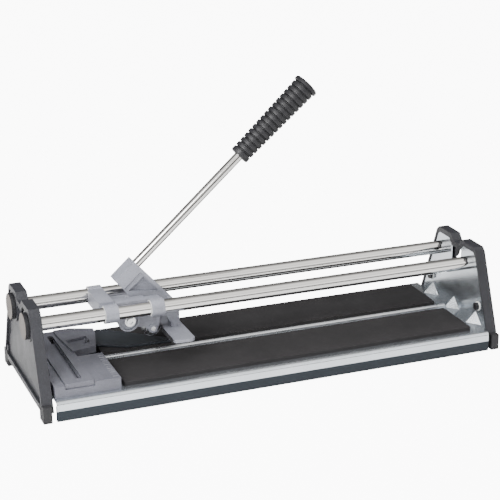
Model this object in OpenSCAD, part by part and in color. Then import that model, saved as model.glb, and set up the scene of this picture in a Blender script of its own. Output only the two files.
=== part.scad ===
// Manual tile cutter: pressed tray with two guide tubes, a sliding carriage, a lever with
// scoring wheel and breaker wing, and a measuring fence with a sliding stop and swing arm.
// Millimetres. X runs along the guide tubes, Y from front to rear, Z up.
// Origin: centre of the base, on the surface that the rubber feet stand on.

/* [Overall size] */
// Length over the outer faces of the two end caps
overall_l = 520; // [440:10:900]
// Depth of the tray over its rolled front and rear edges
tray_depth = 172; // [160:1:240]
// Height of the end caps above the bench
cap_h = 107; // [104:1:130]

/* [Tray] */
// Thickness of the pressed sheet
sheet_t = 1.5; // [1:0.1:2]
// Height of the deck's top face above the bench
deck_z = 22.4; // [20:0.2:26]
// Outer radius of the rolled long edges
edge_r = 4; // [3:0.5:6]
// Height at which the long edges end
edge_z = 12; // [10:0.5:14]
// Height of the pressed gussets on the end walls
gusset_h = 12; // [8:1:16]
// Half width of each gusset along the bend
gusset_half_w = 14; // [8:1:16]

/* [End caps] */
// Depth of the cap's rim, along the tubes
cap_rim_x = 12; // [11:0.5:16]
// Width of the rim, seen from the end
cap_rim_w = 6; // [5:0.5:8]
// Width of the rim along its two leaning sides
cap_side_w = 3; // [3:0.5:6]
// Half width of the cap across its two humps
cap_top_half = 43.5; // [43:0.5:50]
// Height at which the cap's lower edge runs
cap_foot_z = 10; // [9:0.5:12]
// How far the cap's panel lies below its outer rim
cap_recess = 3; // [2:0.5:5]
// Thickness of the cap's panel
cap_panel_t = 2.5; // [2:0.5:4]

/* [Guide tubes] */
// Outer diameter of the two guide tubes
tube_d = 15; // [14:0.5:16]
// Wall of the guide tubes
tube_wall = 1.5; // [1:0.25:2]
// Distance between the axes of the two tubes
tube_pitch = 59.2; // [56:0.2:64]
// Height of the tube axes above the bench
tube_z = 85.7; // [84:0.1:88]

/* [Pads and ridge] */
// Thickness of the two foam pads
pad_t = 4.3; // [3:0.1:5]
// Gap between the two pads, over the breaking ridge
pad_gap = 20.4; // [16:0.2:26]
// Depth of each pad
pad_depth = 63; // [50:1:66]
// Bare deck between the pads and the right end wall
pad_end_gap = 18.7; // [18:0.1:40]
// Width of the breaking ridge
ridge_w = 5; // [4:0.5:7]

/* [Measuring fence] */
// Length of the fence along the tubes
fence_l = 69; // [69:1:90]
// Depth of the fence, front to rear
fence_depth = 155; // [150:1:158]
// Height of the fence over the deck
fence_t = 12; // [11:0.5:13]
// Width of the sliding bar
slider_w = 30.5; // [28:0.5:31]
// Thickness of the sliding bar
slider_t = 5.5; // [5:0.5:6]
// Width of the stepped slot in the sliding bar
slot_w = 6.2; // [6:0.1:7]
// Length of the slot in the sliding bar
slot_l = 118.5; // [100:0.5:120]

/* [Carriage and lever] */
// Distance from the left end of the cutter to the lever's pivot, at rest
pivot_from_end = 115; // [115:1:200]
// Height of the lever's pivot above the bench
pivot_z = 66.3; // [66:0.1:67]
// Diameter of the pivot bolt
pivot_d = 6; // [5:0.5:8]
// Length of each carriage sleeve
sleeve_l = 14.2; // [12:0.2:16]
// Wall of the plastic bushes inside the sleeves
bush_wall = 0.95; // [0.8:0.05:1.2]
// Angle of the lever rod above the horizontal, at rest
lever_deg = 42.2; // [38:0.1:46]
// Diameter of the lever rod
rod_d = 10; // [8:0.5:11]
// Length of the lever rod
rod_l = 272; // [200:1:360]
// Length of the rubber grip
grip_l = 105.2; // [80:0.1:130]
// Number of ribs on the grip
grip_ribs = 15; // [8:1:20]
// Diameter of the scoring wheel
wheel_d = 22; // [18:0.5:23]
// Width of the breaker wing, across the tubes
wing_w = 92; // [70:1:94]
// Length of the breaker wing, along the tubes
wing_l = 23; // [18:1:24]

/* [Clearances] */
// Radial clearance of parts that turn or slide on a shaft
run_fit = 0.05; // [0.02:0.01:0.09]
// Gap between flat parts that lie beside each other
side_gap = 0.3; // [0.2:0.05:0.5]
// Radial clearance of screws in through holes
hole_fit = 0.2; // [0.1:0.05:0.4]
// Radial clearance of screws in tapped holes
tap_fit = 0.05; // [0.02:0.01:0.1]

/* [Hidden] */
$fn = 64;
eps = 0.5;

// Stations along X, for the right-hand end
end_x = overall_l / 2;
rim_in_x = end_x - cap_rim_x;
panel_out_x = end_x - cap_recess;
panel_in_x = panel_out_x - cap_panel_t;
wall_x = rim_in_x + 1;
wall_out_x = wall_x + sheet_t;

// Tray
half_depth = tray_depth / 2;
deck_bottom = deck_z - sheet_t;
edge_x = rim_in_x - 2;
ear_notch_half = 11;
ear_notch_z = tube_z - 10;
gusset_run = 12;
gusset_pitch = 50;

// Caps: the side edge leans in from the foot to the hump
cap_foot_half = half_depth - 3.5;
cap_lean = (cap_foot_half - cap_top_half) / (cap_h - cap_foot_z);
lean_len = sqrt(1 + cap_lean * cap_lean);
hump_in = 12;
saddle_half = 6;
saddle_drop = 7;

// Feet
foot_x0 = end_x - 9.4;
foot_l = 9.4;
foot_w = 16;
foot_y = cap_foot_half + 3 - foot_w / 2;
foot_h = 18;
foot_peg_d = 2.8;
foot_peg_h = 4;
foot_peg_y = foot_y - foot_w / 2 + 3;

// Tube ends
tube_y = tube_pitch / 2;
tube_in_d = tube_d - 2 * tube_wall;
insert_l = 12;
tube_screw_d = 6;
tube_screw_l = 11;
tube_head_d = 11;
tube_head_t = 3.2;
cover_d = 28;
cover_x0 = panel_out_x + 2.2;
cover_x1 = end_x + 4;
boss_in_d = 20;
boss_out_d = 33;

// Screws that hold the caps to the tray's walls
cap_screw_y = 54.5;
cap_screw_z = 42;
cap_screw_d = 4;
cap_head_d = 8.5;
cap_head_t = 3;
washer_t = 0.8;
washer_d = 10.5;

// Pads and ridge
pad_top = deck_z + pad_t;
pad_x1 = wall_x - pad_end_gap;
ridge_top = pad_top + 0.3;

// Fence, from the left end
fence_wall_gap = 4;
fence_x0 = -wall_x + fence_wall_gap;
fence_x1 = fence_x0 + fence_l;
fence_half = fence_depth / 2;
fence_top = deck_z + fence_t;
slider_x0 = fence_x0 + 11;
slider_x1 = slider_x0 + slider_w;
channel_z = fence_top - 4.1;
block_x0 = slider_x1 + side_gap;
block_rear_y = -9;
slider_z = channel_z + 0.2;
slider_top = slider_z + slider_t;
slider_y0 = -fence_half + 2;
slider_y1 = 61.7;
slot_x = slider_x0 + 17;
slot_y0 = slider_y0 + 9;
slot_y1 = slot_y0 + slot_l;
lock_y = slot_y1 - 6;
lock_d = 4;
lock_head_d = slot_w - 0.6;
lock_head_t = 2.4;
slot_step = 3;
fence_screw_d = 4;
fence_screw_head_d = 8;
fence_screw_head_t = 2.6;
fence_screw_in = 8;
fence_screws_at = [[fence_x0 + 5.5, -68], [fence_x0 + 5.5, 68],
                   [fence_x1 - 13, -68], [fence_x1 - 13, -20]];
gusset_pocket_h = gusset_h * (1 - fence_wall_gap / gusset_run) + 0.8;
graduation_n = 12;
graduation_pitch = 5;

// Stop head on the slider, and the swing arm under it
head_top = slider_top + 2;
head_flange_z = 30.4 + (deck_z - 22.4);
head_body_x1 = slider_x1 + 13.5;
head_floor_z = deck_z + 0.6;
arm_x = slider_x1 + 25.5;
arm_y = 50;
arm_z0 = pad_top + 0.4;
arm_t = 2.4;
arm_pin_d = 5;
arm_pin_head_d = 9;
arm_hub_r = 8;
pads_x0 = max(fence_x1, arm_x + arm_pin_head_d / 2 + 1.5) + 0.6;

// Carriage
pivot_x = -end_x + pivot_from_end;
sleeve_bore = tube_d + 2 * run_fit + 2 * bush_wall;
sleeve_d = sleeve_bore + 2.6;
sleeve_left_x = pivot_x - 33.5;
sleeve_right_x = pivot_x + 16.2;
bar_x0 = pivot_x - 36;
bar_x1 = pivot_x - 20;
bar_z0 = tube_z - 5.7;
bar_z1 = tube_z + sleeve_d / 2;
lug_in_y = 9;
lug_out_y = 13.5;
lug_r = 11.6;
lug_x = pivot_x - 1.7;
lug_z = pivot_z + 1.2;
lug_recess = 2.2;
web_top = tube_z + 7.3;
rear_web_top = tube_z - 1.5;
web_y1 = tube_y - tube_d / 2 - side_gap;
pivot_washer_d = 11.8;
pivot_washer_t = 1;
pivot_head_t = 2.6;
pivot_head_d = 8.4;
pivot_nut_af = 10;
pivot_nut_t = 5;

// Lever. Its own frame starts at the pivot: u runs along the rod, w square to it, upwards
rod_w = 36;
block_u0 = 20.2;
block_u1 = 48.5;
block_w0 = 29.7;
block_w1 = 43.7;
block_half = 8.5;
body_half = 6.5;
hub_r = 8.6;
hub_half = lug_in_y - 0.2;
socket_u0 = 24;
flange_t = 3.5;
flange_w0 = -22;
rib_web_half = 2;
wheel_at = [26.7, -13.5];
wheel_w = 5.2;
cheek_in = wheel_w / 2 + 0.4;
boss_r = 5;
boss_half = 7.6;
axle_d = 5;
wheel_gap = 1.5;
wing_dx = 38;
wing_dz = -17.9;
wing_t = 3.1;
wing_corner_r = 5;
wing_pad_t = 1;
grip_u0 = socket_u0 + 180.7;
grip_u1 = grip_u0 + grip_l;
grip_r0 = 10.85;
grip_r1 = 13.2;
grip_cap_r = 14.2;
grip_groove = 1.6;

// A point of the lever's own frame, as [x, z] from the pivot
function uw(u, w) =
    [u * cos(lever_deg) - w * sin(lever_deg), u * sin(lever_deg) + w * cos(lever_deg)];

// Half width of the cap's outline at a height, moved in by a distance
function cap_half(z, inset) = cap_foot_half - cap_lean * (z - cap_foot_z) - inset * lean_len;

// Right half of the cap's outline from bottom to top, moved in by two distances: one for the
// bottom and the humps, one for the leaning side
function cap_half_outline(inset, side) = [
    [cap_half(cap_foot_z + inset, side), cap_foot_z + inset],
    [cap_half(cap_h - inset - 4, side), cap_h - inset - 4],
    [cap_half(cap_h - inset, side) - 3, cap_h - inset],
    [hump_in + inset / 2, cap_h - inset],
    [saddle_half + inset / 2, cap_h - inset - saddle_drop]];

// A half outline with its mirror image, as one closed outline
function mirrored(points) =
    concat(points, [for (i = [len(points) - 1 : -1 : 0]) [-points[i][0], points[i][1]]]);

// Extrudes an outline drawn in Y and Z along X, from x0 to x1
module along_x(x0, x1) {
    translate([x0, 0, 0]) rotate([90, 0, 90]) linear_extrude(x1 - x0) children();
}

// Extrudes an outline drawn in X and Z across Y, from y0 to y1
module along_y(y0, y1) {
    translate([0, y1, 0]) rotate([90, 0, 0]) linear_extrude(y1 - y0) children();
}

// A rod along X, and one along Y
module rod_x(x0, x1, d, y, z) {
    translate([x0, y, z]) rotate([0, 90, 0]) cylinder(h = x1 - x0, d = d);
}

module rod_y(y0, y1, d, x, z) {
    translate([x, y1, z]) rotate([90, 0, 0]) cylinder(h = y1 - y0, d = d);
}

// A box from its lowest to its highest corner
module box(a, b) {
    translate(a) cube([b[0] - a[0], b[1] - a[1], b[2] - a[2]]);
}

// Children at both ends of the cutter, or at the front and the rear
module both_ends() {
    for (end = [0, 1]) mirror([end, 0, 0]) children();
}

module both_sides() {
    for (side = [0, 1]) mirror([0, side, 0]) children();
}

// Places its children in the lever's frame: u to X, w to Z
module lever_frame() {
    translate([pivot_x, 0, pivot_z]) rotate([0, -lever_deg, 0]) children();
}

// One pressed gusset: a corner of three sloping planes between the deck and the wall
module gusset(y) {
    translate([wall_x, y, deck_z])
        polyhedron(
            points = [[0.2, -gusset_half_w, -0.2], [0.2, gusset_half_w, -0.2],
                      [-gusset_run, 0, -0.2], [0.2, 0, gusset_h]],
            faces = [[0, 1, 2], [0, 2, 3], [2, 1, 3], [0, 3, 1]]);
}

// The rolled front edge of the tray
module rolled_edge() {
    corner_y = half_depth - edge_r;
    intersection() {
        difference() {
            rod_x(-edge_x, edge_x, 2 * edge_r, -corner_y, deck_z - edge_r);
            rod_x(-edge_x - 1, edge_x + 1, 2 * (edge_r - sheet_t), -corner_y, deck_z - edge_r);
        }
        box([-edge_x - 1, -half_depth - 1, deck_z - edge_r], [edge_x + 1, -corner_y, deck_z + 1]);
    }
    box([-edge_x, -half_depth, edge_z], [edge_x, -half_depth + sheet_t, deck_z - edge_r]);
}

module end_wall() {
    difference() {
        along_x(wall_x, wall_out_x)
            polygon(mirrored(cap_half_outline(cap_rim_w + side_gap, cap_side_w + side_gap)));
        box([wall_x - 1, -ear_notch_half, ear_notch_z], [wall_out_x + 1, ear_notch_half, cap_h + 1]);
        box([wall_x - 1, -half_depth, 0], [wall_out_x + 1, half_depth, deck_bottom]);
        both_sides() {
            rod_x(wall_x - 1, wall_out_x + 1, tube_d + 2 * hole_fit, tube_y, tube_z);
            rod_x(wall_x - 1, wall_out_x + 1, cap_screw_d + 2 * hole_fit, cap_screw_y, cap_screw_z);
        }
    }
}

module base_tray() {
    web_half = cap_half(deck_bottom, cap_side_w + side_gap) - 0.5;
    color("silver") difference() {
        union() {
            box([-edge_x, -half_depth + edge_r, deck_bottom], [edge_x, half_depth - edge_r, deck_z]);
            box([-wall_out_x, -web_half, deck_bottom], [wall_out_x, web_half, deck_z]);
            both_sides() rolled_edge();
            both_ends() {
                end_wall();
                for (i = [-1 : 1]) gusset(i * gusset_pitch);
            }
        }
        for (at = fence_screws_at)
            translate([at[0], at[1], deck_bottom - 1])
                cylinder(h = sheet_t + 2, d = fence_screw_d + 2 * hole_fit);
    }
}

module breaking_ridge() {
    top_r = ridge_w / 2;
    x0 = fence_x1 + 0.6;
    x1 = wall_x - gusset_run - side_gap;
    color("silver") difference() {
        union() {
            box([x0, -top_r, deck_z], [x1, top_r, ridge_top - top_r]);
            rod_x(x0, x1, ridge_w, 0, ridge_top - top_r);
        }
        box([x0 - 1, -ridge_w, deck_z - ridge_w], [x1 + 1, ridge_w, deck_z]);
    }
}

// One foam pad, with its four corners nipped off
module pad(y0, y1) {
    nip = 1.5;
    translate([0, 0, deck_z]) linear_extrude(pad_t)
        polygon([[pads_x0 + nip, y0], [pad_x1 - nip, y0], [pad_x1, y0 + nip], [pad_x1, y1 - nip],
                 [pad_x1 - nip, y1], [pads_x0 + nip, y1], [pads_x0, y1 - nip], [pads_x0, y0 + nip]]);
}

module pad_front() {
    color("dimgray") pad(-pad_gap / 2 - pad_depth, -pad_gap / 2);
}

module pad_rear() {
    color("dimgray") pad(pad_gap / 2, pad_gap / 2 + pad_depth);
}

// The plastic strip that the front edge of the tray stands in
module edge_strip() {
    lip = 0.8;
    ledge_z = edge_z - 0.1;
    inner_y = half_depth - sheet_t - 0.2;
    rail_t = 2.5;
    along_x(-edge_x, edge_x)
        polygon([[-half_depth - lip, lip + 1], [-half_depth - lip, ledge_z], [-inner_y, ledge_z],
                 [-inner_y, edge_z + 5], [-inner_y + rail_t, edge_z + 5], [-inner_y + rail_t, lip],
                 [-half_depth - lip + 1, lip]]);
}

module front_strip() {
    color("slategray") edge_strip();
}

module rear_strip() {
    color("slategray") mirror([0, 1, 0]) edge_strip();
}

// Window of the panel between a tube's boss and the leaning rim
module side_window() {
    margin = cap_side_w + 1.5;
    y0 = tube_y + boss_out_d / 2 + 1.2;
    z0 = tube_z - 26;
    z1 = cap_foot_z + (cap_foot_half - margin * lean_len - y0 - 1) / cap_lean;
    polygon([[y0, z1], [cap_half(z1, margin), z1], [cap_half(z0, margin), z0], [y0 + 2.5, z0],
             [y0, z0 + 12]]);
}

// Window of the panel between the two bosses, below the saddle
module middle_window() {
    half = tube_y - boss_out_d / 2 - 2;
    z1 = cap_h - cap_rim_w - saddle_drop - 1.5;
    polygon([[-half, tube_z - 20], [half, tube_z - 20], [half, z1], [-half, z1]]);
}

// A moulded cap, drawn for the right-hand end
module end_cap() {
    color([0.16, 0.17, 0.19]) difference() {
        union() {
            difference() {
                along_x(rim_in_x, end_x) polygon(mirrored(cap_half_outline(0, 0)));
                along_x(rim_in_x - 1, panel_in_x) polygon(mirrored(cap_half_outline(cap_rim_w, cap_side_w)));
                along_x(panel_out_x, end_x + 1) polygon(mirrored(cap_half_outline(cap_rim_w, cap_side_w)));
            }
            both_sides() {
                rod_x(wall_out_x + 0.1, panel_in_x + eps, tube_d + 7, tube_y, tube_z);
                rod_x(wall_out_x + 0.1, panel_in_x + eps, cap_screw_d + 6, cap_screw_y, cap_screw_z);
                rod_x(panel_out_x - eps, cover_x0 - 0.1, boss_out_d, tube_y, tube_z);
                box([wall_out_x + 0.1, foot_peg_y - 3, foot_h], [end_x - 1, foot_peg_y + 2.5, foot_h + 7]);
            }
        }
        both_sides() {
            rod_x(wall_out_x - 1, panel_in_x, tube_d + 2 * tap_fit, tube_y, tube_z);
            rod_x(panel_in_x - 1, panel_out_x + 1, tube_screw_d + 2 * hole_fit, tube_y, tube_z);
            rod_x(panel_out_x, end_x + 1, boss_in_d, tube_y, tube_z);
            rod_x(wall_out_x - 1, panel_out_x - 0.5, cap_screw_d + 2 * tap_fit, cap_screw_y, cap_screw_z);
            along_x(panel_in_x - 1, panel_out_x + 1) side_window();
            box([panel_in_x - 1, cap_screw_y + 4.5, cap_screw_z],
                [panel_out_x + 1, cap_screw_y + 8, cap_screw_z + 7]);
            box([foot_x0 - side_gap, foot_y - foot_w / 2 - side_gap, 0],
                [end_x + 1, foot_y + foot_w, foot_h + 0.1]);
            translate([foot_x0 + foot_l / 2, foot_peg_y, foot_h - 1])
                cylinder(h = foot_peg_h + 1.3, d = foot_peg_d + 2 * tap_fit);
        }
        along_x(panel_in_x - 1, panel_out_x + 1) middle_window();
    }
}

module end_cap_left() {
    mirror([1, 0, 0]) end_cap();
}

module end_cap_right() {
    end_cap();
}

module rubber_feet() {
    color([0.1, 0.1, 0.11]) both_ends() both_sides() {
        box([foot_x0, foot_y - foot_w / 2, 0], [end_x, foot_y + foot_w / 2, foot_h]);
        translate([foot_x0 + foot_l / 2, foot_peg_y, foot_h - eps])
            cylinder(h = foot_peg_h + eps, d = foot_peg_d);
    }
}

module guide_tube() {
    difference() {
        rod_x(-panel_in_x, panel_in_x, tube_d, -tube_y, tube_z);
        rod_x(-panel_in_x - 1, panel_in_x + 1, tube_in_d, -tube_y, tube_z);
    }
}

module guide_tube_front() {
    color("gainsboro") guide_tube();
}

module guide_tube_rear() {
    color("gainsboro") mirror([0, 1, 0]) guide_tube();
}

module tube_inserts() {
    color("darkgray") both_ends() both_sides() difference() {
        rod_x(panel_in_x - insert_l, panel_in_x, tube_in_d - 2 * tap_fit, tube_y, tube_z);
        rod_x(panel_in_x - insert_l - 1, panel_in_x + 1, tube_screw_d + 2 * tap_fit, tube_y, tube_z);
    }
}

module tube_screws() {
    color("darkgray") both_ends() both_sides() difference() {
        union() {
            rod_x(panel_in_x - tube_screw_l + 1, panel_out_x + eps, tube_screw_d, tube_y, tube_z);
            rod_x(panel_out_x, panel_out_x + tube_head_t, tube_head_d, tube_y, tube_z);
        }
        rod_x(panel_out_x + 1.2, panel_out_x + tube_head_t + 1, 5.8, tube_y, tube_z, $fn = 6);
    }
}

module tube_covers() {
    spigot_d = boss_in_d - 0.3;
    hollow_d = tube_head_d + 2;
    color([0.2, 0.18, 0.17]) both_ends() both_sides() difference() {
        union() {
            rod_x(cover_x0, cover_x1, cover_d, tube_y, tube_z);
            rod_x(panel_out_x + 0.2, cover_x0 + eps, spigot_d, tube_y, tube_z);
        }
        rod_x(panel_out_x - 1, panel_out_x + tube_head_t + 0.6, hollow_d, tube_y, tube_z);
    }
}

module cap_screws() {
    head_x = wall_x - washer_t;
    color([0.15, 0.15, 0.16]) both_ends() both_sides() difference() {
        union() {
            rod_x(head_x - eps, panel_in_x + 1, cap_screw_d, cap_screw_y, cap_screw_z);
            rod_x(head_x - cap_head_t, head_x, cap_head_d, cap_screw_y, cap_screw_z);
        }
        rod_x(head_x - cap_head_t - 1, head_x - cap_head_t + 1.6, 4.2, cap_screw_y, cap_screw_z, $fn = 6);
    }
}

module cap_washers() {
    color("white") both_ends() both_sides() difference() {
        rod_x(wall_x - washer_t, wall_x, washer_d, cap_screw_y, cap_screw_z);
        rod_x(wall_x - washer_t - 1, wall_x + 1, cap_screw_d + 2 * hole_fit, cap_screw_y, cap_screw_z);
    }
}

module fence_base() {
    color([0.42, 0.44, 0.47]) difference() {
        union() {
            box([fence_x0, -fence_half, deck_z], [block_x0, fence_half, fence_top]);
            box([block_x0 - eps, -fence_half, deck_z], [fence_x1, block_rear_y, fence_top + 0.6]);
        }
        box([slider_x0 - side_gap, -fence_half - 1, channel_z],
            [slider_x1 + side_gap, fence_half + 1, fence_top + 2]);
        for (at = fence_screws_at)
            translate([at[0], at[1], deck_z - 1])
                cylinder(h = fence_screw_in + 1.5, d = fence_screw_d + 2 * tap_fit);
        translate([slot_x, lock_y, deck_z + 2])
            cylinder(h = fence_t, d = lock_d + 2 * tap_fit);
        for (i = [-1 : 1])
            box([fence_x0 - 1, i * gusset_pitch - gusset_half_w - 1, deck_z - 1],
                [-wall_x + gusset_run + 1, i * gusset_pitch + gusset_half_w + 1, deck_z + gusset_pocket_h]);
        for (i = [0 : graduation_n - 1]) {
            long = i % 2 == 0 ? 7 : 4;
            y = -fence_half + 6 + i * graduation_pitch;
            box([fence_x1 - 1 - long, y - 0.3, fence_top], [fence_x1 - 1, y + 0.3, fence_top + 2]);
        }
    }
}

module fence_screws() {
    color("gray") for (at = fence_screws_at) translate([at[0], at[1], deck_bottom]) difference() {
        union() {
            translate([0, 0, -fence_screw_head_t]) cylinder(h = fence_screw_head_t, d = fence_screw_head_d);
            translate([0, 0, -eps]) cylinder(h = sheet_t + fence_screw_in + eps, d = fence_screw_d);
        }
        translate([0, 0, -fence_screw_head_t - 1]) cylinder(h = 2.4, d = 4, $fn = 6);
    }
}

// Outline of the stop head, from the slider bar's right edge
module stop_head_outline() {
    translate([slider_x1, 0])
        polygon([[-6.8, 43.9], [-2, -1], [24.8, 4.2], [34.1, 39.9], [35.2, 51.9], [10.5, 61.7],
                 [-6.8, 61.7]]);
}

module stop_head_recess() {
    translate([slider_x1, 0])
        polygon([[-1.4, 28.2], [21.7, 33.5], [21.9, 17.3], [1.8, 4.6]]);
}

// The slot at one width, from a height upwards
module slot_cut(w, z0) {
    box([slot_x - w / 2, slot_y0 + slot_w / 2, z0], [slot_x + w / 2, slot_y1 - slot_w / 2, head_top + 1]);
    for (y = [slot_y0 + slot_w / 2, slot_y1 - slot_w / 2])
        translate([slot_x, y, z0]) cylinder(h = head_top + 1 - z0, d = w);
}

// Two small ribs that stand in the recess
module stop_head_ribs() {
    for (i = [0, 1]) translate([slider_x1 + 15.5 + i * 3, 19, head_top - 3.5]) rotate([0, 0, -20])
        cube([1, 10, 3.3]);
}

module guide_slider() {
    head_foot = head_body_x1 - slider_x1;
    color([0.38, 0.4, 0.43]) union() {
        stop_head_ribs();
        difference() {
            union() {
                box([slider_x0, slider_y0, slider_z], [slider_x1, slider_y1, slider_top]);
                translate([0, 0, slider_z]) linear_extrude(head_top - slider_z) stop_head_outline();
                translate([0, 0, head_floor_z]) linear_extrude(head_top - head_floor_z) intersection() {
                    stop_head_outline();
                    translate([block_x0 + side_gap, -2]) square([head_foot - 2 * side_gap, 70]);
                }
            }
            translate([0, 0, slider_z - 1]) linear_extrude(head_flange_z - slider_z + 1)
                translate([head_body_x1, -5]) square([40, 70]);
            translate([0, 0, head_top - 3]) linear_extrude(4) stop_head_recess();
            slot_cut(lock_d + 0.5, 0);
            slot_cut(slot_w, slider_top - slot_step);
            translate([arm_x, arm_y, arm_z0])
                cylinder(h = head_top - arm_z0 - 1.2, d = arm_pin_d + 2 * tap_fit);
        }
    }
}

module guide_lock_screw() {
    shank_z = deck_z + 3;
    head_z = slider_top - slot_step + 0.1;
    color([0.15, 0.15, 0.16]) translate([slot_x, lock_y, 0]) difference() {
        union() {
            translate([0, 0, shank_z]) cylinder(h = head_z + eps - shank_z, d = lock_d);
            translate([0, 0, head_z]) cylinder(h = lock_head_t, d = lock_head_d);
        }
        translate([0, 0, head_z + 1]) cylinder(h = lock_head_t, d = 3.4, $fn = 6);
    }
}

// The swing arm's outline, from its pivot
module swing_arm_outline() {
    circle(r = arm_hub_r);
    polygon([[-7.5, -2.5], [-5, -18], [4, -23], [36, -39.5], [89, -42.3], [91.5, -39], [26, 15], [18, 18],
             [6, 10], [-2, 7.5]]);
}

module swing_arm() {
    color([0.26, 0.27, 0.29]) difference() {
        translate([arm_x, arm_y, arm_z0]) linear_extrude(arm_t) swing_arm_outline();
        translate([arm_x, arm_y, arm_z0 - 1])
            cylinder(h = arm_t + 2, d = arm_pin_d + 2 * run_fit);
    }
}

module swing_arm_screw() {
    head_t = 2;
    head_z = arm_z0 - 0.2 - head_t;
    color("silver") translate([arm_x, arm_y, head_z]) {
        cylinder(h = head_t, d = arm_pin_head_d);
        translate([0, 0, head_t - eps])
            cylinder(h = head_top - 1.6 - (head_z + head_t) + eps, d = arm_pin_d);
    }
}

// One side of the carriage, drawn for the front, with the height of its web's top
module carriage_side(top) {
    rod_x(sleeve_left_x, sleeve_left_x + sleeve_l, sleeve_d, -tube_y, tube_z);
    rod_x(sleeve_right_x, sleeve_right_x + sleeve_l, sleeve_d, -tube_y, tube_z);
    box([bar_x1 - eps, -web_y1, tube_z - 7.7], [sleeve_right_x + sleeve_l, -lug_out_y, top]);
    box([bar_x1 - eps, -lug_out_y - eps, lug_z + 4], [pivot_x + 15, -lug_in_y, top]);
    rod_y(-lug_out_y, -lug_in_y, 2 * lug_r, lug_x, lug_z);
}

module carriage() {
    color([0.5, 0.51, 0.54]) difference() {
        union() {
            carriage_side(web_top);
            mirror([0, 1, 0]) carriage_side(rear_web_top);
            box([bar_x0, -web_y1 + 1, bar_z0], [bar_x1, web_y1 - 1, bar_z1]);
        }
        both_sides() {
            rod_x(sleeve_left_x - 1, sleeve_left_x + sleeve_l + 1, sleeve_bore + 0.04, -tube_y, tube_z);
            rod_x(sleeve_right_x - 1, sleeve_right_x + sleeve_l + 1, sleeve_bore + 0.04, -tube_y, tube_z);
            rod_y(-lug_out_y - 1, -lug_out_y + lug_recess, 2 * lug_r - 3.4, lug_x, lug_z);
        }
        rod_y(-lug_out_y - 1, lug_out_y + 1, pivot_d + 2 * tap_fit, pivot_x, pivot_z);
    }
}

module sleeve_bushes() {
    color("white") both_sides() for (x = [sleeve_left_x, sleeve_right_x]) difference() {
        rod_x(x, x + sleeve_l, sleeve_bore, -tube_y, tube_z);
        rod_x(x - 1, x + sleeve_l + 1, tube_d + 2 * run_fit, -tube_y, tube_z);
    }
}

module pivot_bolt() {
    seat_y = lug_out_y - lug_recess + pivot_washer_t;
    color("gainsboro") difference() {
        union() {
            rod_y(-seat_y - pivot_head_t, -seat_y, pivot_head_d, pivot_x, pivot_z);
            rod_y(-seat_y - eps, seat_y + pivot_nut_t + 1, pivot_d, pivot_x, pivot_z);
        }
        rod_y(-seat_y - pivot_head_t - 1, -seat_y - pivot_head_t + 1.4, 4.6, pivot_x, pivot_z, $fn = 6);
    }
}

module pivot_washers() {
    seat_y = lug_out_y - lug_recess;
    color("silver") both_sides() difference() {
        rod_y(-seat_y - pivot_washer_t, -seat_y, pivot_washer_d, pivot_x, pivot_z);
        rod_y(-seat_y - pivot_washer_t - 1, -seat_y + 1, pivot_d + 2 * hole_fit, pivot_x, pivot_z);
    }
}

module pivot_nut() {
    seat_y = lug_out_y - lug_recess + pivot_washer_t;
    color("silver") difference() {
        rod_y(seat_y, seat_y + pivot_nut_t, pivot_nut_af / cos(30), pivot_x, pivot_z, $fn = 6);
        rod_y(seat_y - 1, seat_y + pivot_nut_t + 1, pivot_d + 2 * tap_fit, pivot_x, pivot_z);
    }
}

// Side outline of the lever casting, as [x, z] from the pivot
module lever_outline() {
    polygon(concat(
        [uw(block_u0, block_w1), uw(block_u0, block_w0), [2.3, 24.4], [-6.5, 7.7], [-4, -7.3],
         [5, -8.3], [11.2, -9.8], [17.5, -10.3],
         [wheel_at[0] - 6, wheel_at[1]], [wheel_at[0] + 6, wheel_at[1]],
         [35, -0.3], [42, -2.3], [47, -10.3], [48, wing_dz + wing_t - eps],
         [56.5, wing_dz + wing_t - eps], [56.5, 9.7]],
        [uw(block_u1, flange_w0), uw(block_u1, block_w1)]));
}

// Triangular pocket below the rod's block
module lever_pocket() {
    polygon([uw(21.8, 23.6), uw(block_u1 - flange_t - 1, 23), uw(block_u1 - flange_t - 1, -1.2)]);
}

// A flat plate with four round corners, from its lowest corner
module round_plate(l, w, t, r) {
    box([r, 0, 0], [l - r, w, t]);
    box([0, r, 0], [l, w - r, t]);
    for (x = [r, l - r], y = [r, w - r]) translate([x, y, 0]) cylinder(h = t, r = r);
}

module lever_casting() {
    color([0.52, 0.53, 0.56]) difference() {
        union() {
            translate([pivot_x, 0, pivot_z]) {
                along_y(-body_half, body_half) lever_outline();
                rod_y(-hub_half, hub_half, 2 * hub_r, 0, 0);
                rod_y(-boss_half, boss_half, 2 * boss_r, wheel_at[0], wheel_at[1]);
                translate([wing_dx, -wing_w / 2, wing_dz]) round_plate(wing_l, wing_w, wing_t, wing_corner_r);
            }
            lever_frame() {
                box([block_u0, -block_half, block_w0], [block_u1, block_half, block_w1]);
                box([block_u1 - flange_t, -block_half, flange_w0], [block_u1, block_half, block_w1]);
            }
        }
        translate([pivot_x, 0, pivot_z]) {
            both_sides() along_y(rib_web_half, block_half + 1) lever_pocket();
            rod_y(-cheek_in, cheek_in, wheel_d + 2 * wheel_gap, wheel_at[0], wheel_at[1]);
            rod_y(-boss_half - 1, boss_half + 1, axle_d + 2 * tap_fit, wheel_at[0], wheel_at[1]);
            rod_y(-hub_half - 1, hub_half + 1, pivot_d + 2 * run_fit, 0, 0);
        }
        lever_frame() {
            rod_x(socket_u0, block_u1 + 1, rod_d + 2 * tap_fit, 0, rod_w);
            rod_y(0, block_half + 1, 5 + 2 * tap_fit, block_u0 + 13, rod_w);
            both_sides() box([block_u0 - 5, body_half - 1.5, block_w0 - 1.3],
                             [block_u1 - flange_t, block_half + 1, block_w0]);
        }
    }
}

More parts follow.
